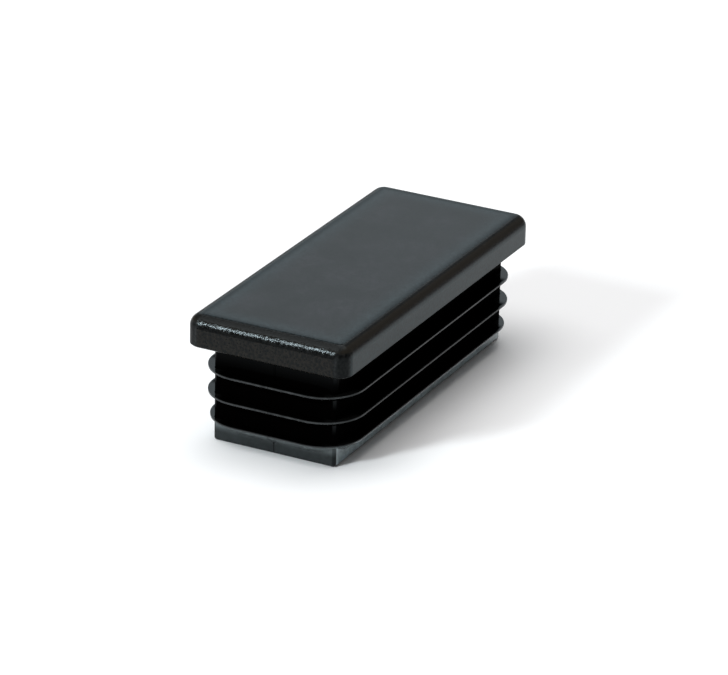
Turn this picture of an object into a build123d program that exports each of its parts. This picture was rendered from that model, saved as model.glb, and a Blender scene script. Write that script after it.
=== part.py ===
from build123d import *
import os
from math import radians, tan

# Ribbed end cap for a 70 x 30 mm rectangular steel tube, moulded in one piece.
#
# The head covers the cut end of the tube. The hollow shank goes inside it, and the
# thin ribs round the shank bend against the inner walls and hold the cap in place.
# The cap stands on the open end of its shank, with +Z up through the head, and the
# long side of the tube lies along X. All lengths are in millimetres.

# The tube that the cap closes
tube_length = 70.0
tube_width = 30.0

# Head
head_height = 5.4
head_corner_radius = 2.5
head_top_radius = 2.1
head_lip_bevel = 0.2

# Shank
shank_end_inset = 3.6
shank_side_inset = 3.5
shank_height = 17.7
shank_corner_radius = 0.8
foot_radius = 0.4

# Ribs
rib_count = 3
rib_pitch = 4.5
first_rib_drop = 4.7
rib_end_reach = 2.5
rib_side_reach = 2.7
lowest_rib_relief = 0.3
rib_corner_radius = 7.5
rim_thickness = 0.27
rim_radius = 0.1
underside_angle = 38.0
root_depth = 0.5

# Cavity
wall_thickness = 1.7
top_thickness = 2.4
cavity_corner_radius = 1.6
cavity_draft = 1.0
cavity_ceiling_radius = 0.8

shank_length = tube_length - 2 * shank_end_inset
shank_width = tube_width - 2 * shank_side_inset
overall_height = shank_height + head_height
cavity_height = overall_height - top_thickness

with BuildPart() as end_cap:
    # Shank, rounded at its corners and at the foot that enters the tube first
    with BuildSketch():
        RectangleRounded(shank_length, shank_width, shank_corner_radius)
    extrude(amount=shank_height)
    fillet(end_cap.faces().sort_by(Axis.Z)[0].edges(), foot_radius)

    # Head
    with BuildSketch(Plane.XY.offset(shank_height)):
        RectangleRounded(tube_length, tube_width, head_corner_radius)
    extrude(amount=head_height)
    lip = end_cap.faces(Select.LAST).sort_by(Axis.Z)[0]
    chamfer(lip.outer_wire().edges(), head_lip_bevel)
    fillet(end_cap.faces().sort_by(Axis.Z)[-1].edges(), head_top_radius)

    # Ribs, each with a flat top, a thin rim and a sloping underside that runs into
    # the shank. The lowest one is a little smaller, so that the cap starts easily.
    for number in range(rib_count):
        relief = lowest_rib_relief if number == rib_count - 1 else 0
        rib_length = shank_length + 2 * (rib_end_reach - relief)
        rib_width = shank_width + 2 * (rib_side_reach - relief)
        rim_top = shank_height - first_rib_drop - number * rib_pitch
        rim_bottom = rim_top - rim_thickness
        slope_run = rib_side_reach - relief + root_depth
        slope_drop = slope_run * tan(radians(underside_angle))
        with BuildSketch(Plane.XY.offset(rim_bottom - slope_drop)):
            RectangleRounded(
                rib_length - 2 * slope_run,
                rib_width - 2 * slope_run,
                rib_corner_radius - slope_run,
            )
        with BuildSketch(Plane.XY.offset(rim_bottom)) as rim:
            RectangleRounded(rib_length, rib_width, rib_corner_radius)
        loft(ruled=True)
        extrude(rim.sketch, amount=rim_thickness)
        shelf = end_cap.faces(Select.LAST).sort_by(Axis.Z)[-1]
        fillet(shelf.outer_wire().edges(), rim_radius)

    # Cavity, open at the foot
    with BuildSketch():
        RectangleRounded(
            shank_length - 2 * wall_thickness,
            shank_width - 2 * wall_thickness,
            cavity_corner_radius,
        )
    extrude(amount=cavity_height, taper=cavity_draft, mode=Mode.SUBTRACT)
    ceiling = end_cap.faces(Select.LAST).sort_by(Axis.Z)[-1]
    fillet(ceiling.edges(), cavity_ceiling_radius)

end_cap.part.label = "end_cap"

os.makedirs("parts", exist_ok=True)
export_step(end_cap.part, "parts/end_cap.step")
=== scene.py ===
import math
from types import SimpleNamespace

import bpy
from mathutils import Matrix, Vector

# A black moulded end cap for a rectangular tube, standing on its open shank on a white table.

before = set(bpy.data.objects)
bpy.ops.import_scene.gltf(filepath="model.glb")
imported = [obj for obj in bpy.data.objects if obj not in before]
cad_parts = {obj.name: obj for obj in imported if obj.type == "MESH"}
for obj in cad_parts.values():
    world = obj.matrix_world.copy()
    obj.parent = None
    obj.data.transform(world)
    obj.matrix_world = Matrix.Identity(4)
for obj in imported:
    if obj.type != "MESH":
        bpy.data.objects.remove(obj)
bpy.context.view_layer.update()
print("frame loaded:", ", ".join(sorted(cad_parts)))


# Shader maths on sockets: Wire + Wire, 1 - Wire and so on each add a Math node

class Wire:
    def __init__(self, net, socket):
        self.net = net
        self.socket = socket

    def math(self, operation, *values):
        return self.net.make("ShaderNodeMath", {"operation": operation}, dict(enumerate(values)))

    def __add__(self, other):
        return self.math("ADD", self, other)

    def __radd__(self, other):
        return self.math("ADD", other, self)

    def __sub__(self, other):
        return self.math("SUBTRACT", self, other)

    def __rsub__(self, other):
        return self.math("SUBTRACT", other, self)

    def __mul__(self, other):
        return self.math("MULTIPLY", self, other)

    def __rmul__(self, other):
        return self.math("MULTIPLY", other, self)

    def __abs__(self):
        return self.math("ABSOLUTE", self)

    def atMost(self, other):
        return self.math("MINIMUM", self, other)

    def atLeast(self, other):
        return self.math("MAXIMUM", self, other)

    def root(self):
        return self.math("SQRT", self)

    def fraction(self):
        return self.math("FRACT", self)

    def asGrey(self):
        return self.net.make("ShaderNodeCombineXYZ", {}, {0: self, 1: self, 2: self})

    def rise(self, low, high, newLow=0.0, newHigh=1.0):
        # a smooth rise from newLow to newHigh as the value goes from low to high
        return self.net.make(
            "ShaderNodeMapRange",
            {"interpolation_type": "SMOOTHSTEP"},
            {"Value": self, "From Min": low, "From Max": high,
             "To Min": newLow, "To Max": newHigh},
        )

    def fall(self, low, high):
        return 1 - self.rise(low, high)


class Finish:
    def __init__(self, name):
        self.material = bpy.data.materials.new(name)
        self.material.use_nodes = True
        self.tree = self.material.node_tree
        self.tree.nodes.clear()

    def make(self, kind, settings, inputs, output=0):
        # one node of any kind: its settings first, then its sockets' values or links
        node = self.tree.nodes.new(kind)
        for key, value in settings.items():
            setattr(node, key, value)
        for key, value in inputs.items():
            if isinstance(value, Wire):
                self.tree.links.new(value.socket, node.inputs[key])
            else:
                node.inputs[key].default_value = value
        return Wire(self, node.outputs[output]) if node.outputs else node

    def parts(self, vector):
        node = self.make("ShaderNodeSeparateXYZ", {}, {0: vector}).socket.node
        return [Wire(self, socket) for socket in node.outputs]

    def noise(self, vector, size, detail, roughness):
        # a noise whose lumps are about this many metres across, from 0 to 1
        return self.make(
            "ShaderNodeTexNoise",
            {"noise_dimensions": "3D"},
            {"Vector": vector, "Scale": 1.0 / size, "Detail": detail, "Roughness": roughness},
        )

    def mixColour(self, factor, first, second, blend="MIX"):
        first, second = (
            colour if isinstance(colour, Wire) else (*colour, 1.0) for colour in (first, second)
        )
        return self.make(
            "ShaderNodeMix",
            {"data_type": "RGBA", "blend_type": blend},
            {0: factor, 6: first, 7: second},  # 6 and 7 are its colour sockets
            2,
        )

    def close(self, surface):
        self.make("ShaderNodeOutputMaterial", {}, {"Surface": surface})
        return self.material


# Plastic of the end cap, lengths in metres

plastic = {
    # colours
    "black": (0.004, 0.0038, 0.0035),
    "dusty": (0.0065, 0.0067, 0.0068),
    "smudge": (0.013, 0.012, 0.014),
    # painted teal sheen along the top's border, standing in for reflected light
    "border": (0.012, 0.0205, 0.0235),
    # painted cool sheen on the head's long faces, standing in for reflected light
    "paintedCoolSheen": (0.0035, 0.0105, 0.0125),
    # painted warm tone on the head's short faces, standing in for how light falls on them
    "paintedShortFaceTone": (0.006, 0.0045, 0.0033),
    # painted warm tint on the head's rounded top edge, standing in for its dark brownish
    # reflection
    "paintedEdgeTint": (0.014, 0.0115, 0.0085),
    # painted highlight along the rib rims
    "paintedRimHighlight": (0.045, 0.047, 0.048),
    # near black of the painted shade between the ribs, and of the moulded parting line
    "shadeAndPartingBlack": (0.0004, 0.0003, 0.0003),
    # painted light reflected from the table onto the foot: all over it, on its upper arc and on
    # its long sides
    "paintedFootReflection": (0.026, 0.030, 0.031),
    "footArc": (0.16, 0.185, 0.19),
    "paintedFootLongReflection": (0.27, 0.35, 0.375),

    # gloss of the skin, of the coat on the foot's long sides, and of the dull near-black
    # copy of the plastic that is mixed in as painted shade
    "skinRoughness": 0.145,
    "cloudRoughness": 0.08,
    "hazeRoughness": 0.04,
    "filletBlur": 0.17,
    "roughest": 0.7,
    "smoothest": 0.08,
    "skinSpecular": 0.23,
    "skinTint": (0.84, 0.96, 1.0),
    "skinIor": 1.45,
    "footCoat": 1.0,
    "coatRoughness": 0.15,
    "coatIor": 2.0,
    "paintedShadeRoughness": 0.5,
    "paintedShadeSpecular": 0.02,
    "paintedShadeIor": 1.1,

    # noises: size of the lumps, detail, roughness
    "clouds": (0.011, 3.0, 0.55),
    "haze": (0.0016, 4.0, 0.6),
    "grain": (0.00045, 2.0, 0.6),
    "pits": (0.0009, 1.0, 0.5),

    # moulded grain: its height, what makes it up and how much of it each place has
    "grainHeight": 0.00015,
    "grainShare": 0.5,
    "pitShare": 0.1,
    "sideGrain": 0.9,
    "topGrain": 0.1,
    "shankGrain": 0.06,
    "longSideCut": 0.85,
    "partingHeight": 0.8,

    # how strongly each painted shade or painted glint shows
    "speckle": 0.75,
    "topSpeckleCut": 0.6,
    "longSpeckleCut": 0.6,
    # share of the painted edge tint that the short sides' rounded edge gets
    "paintedEdgeTintShare": 0.35,  # of the warm colour on the short sides' rounded edge
    "partingDark": 0.8,
    "edgeShade": 0.45,
    "glint": 0.6,
    "rimShade": 0.34,
    "bandShade": 0.5,
    "faceShade": 0.2,
    "lineShade": 0.55,
    "underHeadGlow": 0.25,

    # the cap's own sizes
    "headLength": 0.07,
    "headWidth": 0.03,
    "ribLength": 0.0678,
    "ribWidth": 0.0284,
    "ribCorner": 0.0075,
    "ribTop": 0.004,
    "ribPitch": 0.0045,
    "lowRelief": 0.0003,  # the lowest rib is this much smaller on each side
    "wallMidX": 0.0306,  # from the cap's middle to the middle of the shank's wall
    "wallMidY": 0.0107,

    # heights between which a zone starts or ends
    "headStart": (0.0176, 0.0178),
    "footEnd": (0.0038, 0.0039),
    "lowRibEnd": (0.0042, 0.0044),
    "underHead": (0.0131, 0.0177),
    "arcRise": (0.0015, 0.0036),

    # distances between which a zone starts or ends
    "wallBlend": (-0.0004, 0.0004),
    "lobeX": (0.0002, 0.002),
    "lobeY": (0.0025, 0.004),
    "lobeReach": (0.0033, 0.0063),
    "grooveReach": (0.007, 0.0074),
    "rimReach": (0.00728, 0.00744),
    "topRim": (0.0019, 0.0034),
    "borderFade": (0.0018, 0.0065),
    "grainFade": (0.0004, 0.0024),
    "partingWidth": (0.000064, 0.00016),
    "partingReach": (0.0305, 0.031),
    "tierRise": (0.35, 0.9),  # as a share of the way from one rib to the next

    # how far the surface faces up, from 0 on a wall to 1 on the flat top
    "flatTop": (0.98, 0.999),
    "wallLimit": (0.25, 0.5),
    "ledge": (0.96, 0.99),
    "bandStart": (0.6, 0.85),
    "bandEnd": (0.93, 0.99),
    "faceEnd": (0.02, 0.2),
    "lineStart": (0.03, 0.12),
    "lineEnd": (0.2, 0.34),
    "topEdgeStart": (0.4, 0.6),
    "topEdgeEnd": (0.85, 0.97),
    "blurStart": (0.7, 0.88),
    "blurEnd": (0.97, 0.9995),

    # how far it faces a long side, from 0 on the short sides to 1 on the long ones
    "longSide": (0.25, 0.6),
    "wallEdgeStart": (0.1, 0.35),
    "wallEdgeEnd": (0.7, 0.95),
    "shadeStart": (0.15, 0.4),
    "shadeEnd": (0.85, 0.97),
    "shortSideEnd": (0.05, 0.2),
    "bandSideEnd": (0.3, 0.6),
    "flatLong": (0.93, 0.995),
    "footLong": (0.9, 0.99),
    "blurSide": (0.02, 0.2),

    # noise values between which a mark comes in, and how far it goes
    "dustRange": (0.3, 0.75),
    "smudgeClouds": (0.35, 0.65),
    "smudgeHaze": (0.3, 0.7),
    "streakRange": (0.2, 0.8, 0.5, 1.0),
    "speckleRange": (0.35, 0.65, 0.0, 2.6),
    "rimHighlightRange": (0.3, 0.7, 0.25, 0.9),
}


def findZones(finish, place, facing):
    # masks that say where a point lies, each 1 in its zone and 0 elsewhere
    zone = SimpleNamespace()
    x, y, z = finish.parts(place)
    sideways, up = finish.parts(facing)[1:]
    x, y, sideways = abs(x), abs(y), abs(sideways)  # both halves are alike

    zone.head = z.rise(*plastic["headStart"])
    zone.shank = 1 - zone.head
    zone.top = up.rise(*plastic["flatTop"]) * zone.head
    zone.walls = abs(up).fall(*plastic["wallLimit"])
    # past the middle of the shank's wall, so not in the cavity
    pastWall = (x - plastic["wallMidX"]).atLeast(y - plastic["wallMidY"])
    zone.outside = pastWall.rise(*plastic["wallBlend"])
    zone.foot = z.fall(*plastic["footEnd"]) * zone.outside
    zone.longSides = sideways.rise(*plastic["longSide"])

    # the way out from the centre of a rib's corner curve, up to ribCorner at its rim
    rimX = (x - (plastic["ribLength"] / 2 - plastic["ribCorner"])).atLeast(0.0)
    rimY = (y - (plastic["ribWidth"] / 2 - plastic["ribCorner"])).atLeast(0.0)
    lowRib = z.fall(*plastic["lowRibEnd"])
    reach = (rimX * rimX + rimY * rimY).root() + lowRib * plastic["lowRelief"]
    lobes = reach.rise(*plastic["lobeReach"]) * up.rise(*plastic["ledge"])
    lobes = lobes * rimX.rise(*plastic["lobeX"]) * rimY.rise(*plastic["lobeY"])
    zone.rims = reach.rise(*plastic["rimReach"]) * zone.shank
    zone.inside = 1 - reach.rise(*plastic["grooveReach"]).atLeast(lobes)
    zone.underHead = z.rise(*plastic["underHead"])

    # upright edges: a painted glint on the shank's, just under each rib,
    # and painted shade on the others
    tier = ((z - plastic["ribTop"]) * (1 / plastic["ribPitch"])).fraction()
    wallEdges = sideways.rise(*plastic["wallEdgeStart"]) * sideways.fall(*plastic["wallEdgeEnd"])
    zone.glint = wallEdges * zone.walls * tier.rise(*plastic["tierRise"])
    zone.uprights = sideways.rise(*plastic["shadeStart"]) * sideways.fall(*plastic["shadeEnd"])
    zone.uprights = zone.uprights * zone.walls * zone.head.atLeast(zone.foot)

    # the head's top, from its rim inwards, with painted shade at the rim and a painted sheen
    # along the border, and its rounded edge
    edge = (plastic["headLength"] / 2 - x).atMost(plastic["headWidth"] / 2 - y)
    zone.topRim = edge.fall(*plastic["topRim"]) * zone.top
    zone.border = edge.fall(*plastic["borderFade"]) * zone.top
    zone.calm = edge.rise(*plastic["grainFade"]) * zone.head  # where the grain is faint
    zone.topEdge = up.rise(*plastic["topEdgeStart"]) * up.fall(*plastic["topEdgeEnd"]) * zone.head
    zone.blurred = sideways.rise(*plastic["blurSide"]).atLeast(up.rise(*plastic["blurStart"]))
    zone.blurred = zone.blurred * up.fall(*plastic["blurEnd"]) * zone.head

    # the head's short sides, with a painted dark line above the face and a painted shade
    # band below the top, and its long faces
    shortSide = sideways.fall(*plastic["shortSideEnd"]) * zone.head
    zone.shortFace = shortSide * up.fall(*plastic["faceEnd"])
    zone.lowLine = shortSide * up.rise(*plastic["lineStart"]) * up.fall(*plastic["lineEnd"])
    zone.shortBand = up.rise(*plastic["bandStart"]) * up.fall(*plastic["bandEnd"])
    zone.shortBand = zone.shortBand * sideways.fall(*plastic["bandSideEnd"]) * zone.head
    zone.flatLong = sideways.rise(*plastic["flatLong"]) * zone.head

    # the foot's long sides, its upper arc where painted light goes, and the parting line
    # down the short sides
    zone.footLong = zone.foot * sideways.rise(*plastic["footLong"])
    zone.footArc = zone.foot * z.rise(*plastic["arcRise"])
    zone.parting = y.fall(*plastic["partingWidth"]) * x.rise(*plastic["partingReach"])
    zone.parting = zone.parting * zone.shank
    return zone


def paintedShadeShare(zone):
    # how much painted shade a point has, as a dull near-black copy of the plastic: all of it
    # between the ribs, less under the head and at the painted glints, and some on the upright
    # edges, the top's rim, the short faces and the bands on them
    share = zone.inside.atLeast(zone.walls) * zone.shank * zone.outside
    share = share * (1 - zone.foot) * (1 - zone.rims)
    share = share * (1 - zone.underHead * plastic["underHeadGlow"])
    share = share * (1 - zone.glint * plastic["glint"])
    share = share.atLeast(zone.uprights * plastic["edgeShade"])
    share = share.atLeast(zone.topRim * plastic["rimShade"])
    shortSide = zone.shortFace * plastic["faceShade"] + zone.lowLine * plastic["lineShade"]
    return share.atLeast(shortSide).atLeast(zone.shortBand * plastic["bandShade"])


def paint(finish, zone, clouds, haze, grain):
    # dull black with cloudy dust; painted sheens and tones on the head,
    # painted light on the foot and painted highlights on the rims
    streaks = haze.rise(*plastic["streakRange"])
    smudges = clouds.rise(*plastic["smudgeClouds"]) * haze.rise(*plastic["smudgeHaze"]) * zone.top
    paintedEdgeTint = zone.topEdge * zone.longSides.rise(0.0, 1.0, plastic["paintedEdgeTintShare"], 1.0)
    plain = 1 - zone.top * plastic["topSpeckleCut"]
    plain = plain * (1 - zone.flatLong * plastic["longSpeckleCut"])
    plain = plain * zone.head * (1 - zone.topEdge)
    speckle = grain.rise(*plastic["speckleRange"]).asGrey()
    dust = clouds.rise(*plastic["dustRange"])
    # painted highlight along the rib rims, broken up by noise
    rimHighlights = zone.rims * haze.rise(*plastic["rimHighlightRange"])
    line = zone.parting * zone.foot * plastic["partingDark"]

    colour = finish.mixColour(dust, plastic["black"], plastic["dusty"])
    colour = finish.mixColour(smudges, colour, plastic["smudge"])
    # painted reflections and tones: a cool sheen on the long faces, a warm tone on the short
    # faces, a warm tint on the rounded top edge and a teal sheen along the top's border
    colour = finish.mixColour(zone.flatLong, colour, plastic["paintedCoolSheen"])
    colour = finish.mixColour(zone.shortFace, colour, plastic["paintedShortFaceTone"])
    colour = finish.mixColour(paintedEdgeTint, colour, plastic["paintedEdgeTint"])
    colour = finish.mixColour(zone.border * streaks, colour, plastic["border"])
    # painted light reflected from the table onto the foot, stronger on its upper arc and long
    # sides
    colour = finish.mixColour(zone.foot * streaks, colour, plastic["paintedFootReflection"])
    colour = finish.mixColour(zone.footArc * streaks, colour, plastic["footArc"])
    colour = finish.mixColour(zone.footLong * streaks, colour, plastic["paintedFootLongReflection"])
    colour = finish.mixColour(line, colour, plastic["shadeAndPartingBlack"])
    colour = finish.mixColour(plain * plastic["speckle"], colour, speckle, "MULTIPLY")
    # painted highlights on the rib rims
    return finish.mixColour(rimHighlights, colour, plastic["paintedRimHighlight"])


def roughen(zone, clouds, haze):
    rough = plastic["skinRoughness"] + (clouds - 0.5) * plastic["cloudRoughness"]
    rough = rough + (haze - 0.5) * plastic["hazeRoughness"] + zone.blurred * plastic["filletBlur"]
    return rough.atLeast(plastic["smoothest"]).atMost(plastic["roughest"])


def relief(finish, zone, grain, pits):
    # moulded grain, strong on the head's sides and faint on its top, and the parting line's step
    share = plastic["shankGrain"] + zone.head * (plastic["sideGrain"] - plastic["shankGrain"])
    share = share - zone.calm * (plastic["sideGrain"] - plastic["topGrain"])
    share = share * (1 - zone.longSides * plastic["longSideCut"])
    height = (grain - 0.5) * plastic["grainShare"] + (pits - 0.5) * plastic["pitShare"]
    height = height * share + zone.parting * plastic["partingHeight"]
    inputs = {"Height": height, "Distance": plastic["grainHeight"]}
    return finish.make("ShaderNodeBump", {}, inputs)


def makePlastic():
    finish = Finish("blackPlastic")
    place = finish.make("ShaderNodeTexCoord", {}, {}, "Object")
    facing = finish.make("ShaderNodeTexCoord", {}, {}, "Normal")
    clouds, haze, grain, pits = (
        finish.noise(place, *plastic[name]) for name in ("clouds", "haze", "grain", "pits")
    )
    zone = findZones(finish, place, facing)
    bump = relief(finish, zone, grain, pits)
    skin = finish.make("ShaderNodeBsdfPrincipled", {}, {
        "Base Color": paint(finish, zone, clouds, haze, grain),
        "Roughness": roughen(zone, clouds, haze),
        "Specular IOR Level": plastic["skinSpecular"],
        "Specular Tint": (*plastic["skinTint"], 1.0),
        "IOR": plastic["skinIor"],
        "Coat Weight": zone.footLong * plastic["footCoat"],
        "Coat Roughness": plastic["coatRoughness"],
        "Coat IOR": plastic["coatIor"],
        "Normal": bump,
    })
    # a dull near-black copy of the plastic, mixed in as painted shade between the ribs and on the
    # shaded edges and bands
    paintedShade = finish.make("ShaderNodeBsdfPrincipled", {}, {
        "Base Color": (*plastic["shadeAndPartingBlack"], 1.0),
        "Roughness": plastic["paintedShadeRoughness"],
        "Specular IOR Level": plastic["paintedShadeSpecular"],
        "IOR": plastic["paintedShadeIor"],
        "Normal": bump,
    })
    surface = finish.make("ShaderNodeMixShader", {}, {0: paintedShadeShare(zone), 1: skin, 2: paintedShade})
    return finish.close(surface)


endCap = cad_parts["end_cap"]
blackPlastic = makePlastic()
endCap.data.materials.clear()
endCap.data.materials.append(blackPlastic)
print("end cap finished in black plastic")


# Table and studio

studio = {
    "tableSize": 12.0,
    "tableHeight": -0.00002,  # a hair under the foot
    "tableColour": (0.96, 0.96, 0.965),
    "worldColour": (1.0, 0.98, 0.97),
    "worldStrength": 0.17,
    "lamps": {
        "topSoftbox": {
            "direction": (0.1, 0.17, 0.98), "distance": 2.4, "size": (3.4, 2.0),
            "power": 62.0, "colour": (1.0, 1.0, 1.0),
        },
        "keySoftbox": {
            "direction": (-0.76, 0.41, 0.5), "distance": 1.4, "size": (0.2, 0.32),
            "power": 12.5, "colour": (0.9, 0.97, 1.0),
        },
        "backPanel": {
            "direction": (0.80, 0.50, 0.36), "distance": 1.3, "size": (1.3, 0.6),
            "power": 1.7, "colour": (0.8, 0.93, 1.0),
        },
    },
}


def makeTable():
    bpy.ops.object.select_all(action="DESELECT")
    place = (0, 0, studio["tableHeight"])
    bpy.ops.mesh.primitive_plane_add(size=studio["tableSize"], location=place)
    table = bpy.context.object
    table.name = "table"
    finish = Finish("whiteTable")
    white = finish.make("ShaderNodeBsdfDiffuse", {}, {"Color": (*studio["tableColour"], 1.0)})
    table.data.materials.append(finish.close(white))


def makeLamp(name, direction, distance, size, power, colour):
    towards = Vector(direction).normalized()
    lamp = bpy.data.lights.new(name, "AREA")
    lamp.shape = "RECTANGLE"
    lamp.size, lamp.size_y = size
    lamp.energy = power
    lamp.color = colour
    holder = bpy.data.objects.new(name, lamp)
    bpy.context.scene.collection.objects.link(holder)
    holder.location = towards * distance
    holder.rotation_euler = towards.to_track_quat("Z", "Y").to_euler()  # facing the cap


def makeWorld():
    world = bpy.data.worlds.new("softRoom")
    bpy.context.scene.world = world
    world.use_nodes = True
    background = world.node_tree.nodes["Background"]
    background.inputs["Color"].default_value = (*studio["worldColour"], 1.0)
    background.inputs["Strength"].default_value = studio["worldStrength"]


makeTable()
makeWorld()
for name, lamp in studio["lamps"].items():
    makeLamp(name, **lamp)
print("studio lit")


# Camera

view = {
    "aim": (0.0032, 0.0011, 0.0078),
    "azimuth": -63.3,
    "elevation": 23.27,
    "roll": 1.33,
    "distance": 0.7632,
    "lens": 220.07,
    "sensor": 36.0,
    "nearest": 0.01,
}


def makeCamera():
    turn, rise, roll = (math.radians(view[key]) for key in ("azimuth", "elevation", "roll"))
    level = math.cos(rise)
    back = Vector((math.sin(turn) * level, -math.cos(turn) * level, math.sin(rise)))
    right = Vector((math.cos(turn), math.sin(turn), 0.0))
    up = back.cross(right)
    tiltedRight = right * math.cos(roll) + up * math.sin(roll)
    tiltedUp = up * math.cos(roll) - right * math.sin(roll)
    lens = bpy.data.cameras.new("studioCamera")
    lens.lens = view["lens"]
    lens.sensor_width = view["sensor"]
    lens.sensor_fit = "HORIZONTAL"
    lens.clip_start = view["nearest"]
    camera = bpy.data.objects.new("studioCamera", lens)
    bpy.context.scene.collection.objects.link(camera)
    spot = Matrix.Translation(Vector(view["aim"]) + back * view["distance"])
    camera.matrix_world = spot @ Matrix((tiltedRight, tiltedUp, back)).transposed().to_4x4()
    bpy.context.scene.camera = camera


makeCamera()
bpy.context.scene.view_settings.view_transform = "Standard"
print("camera set")
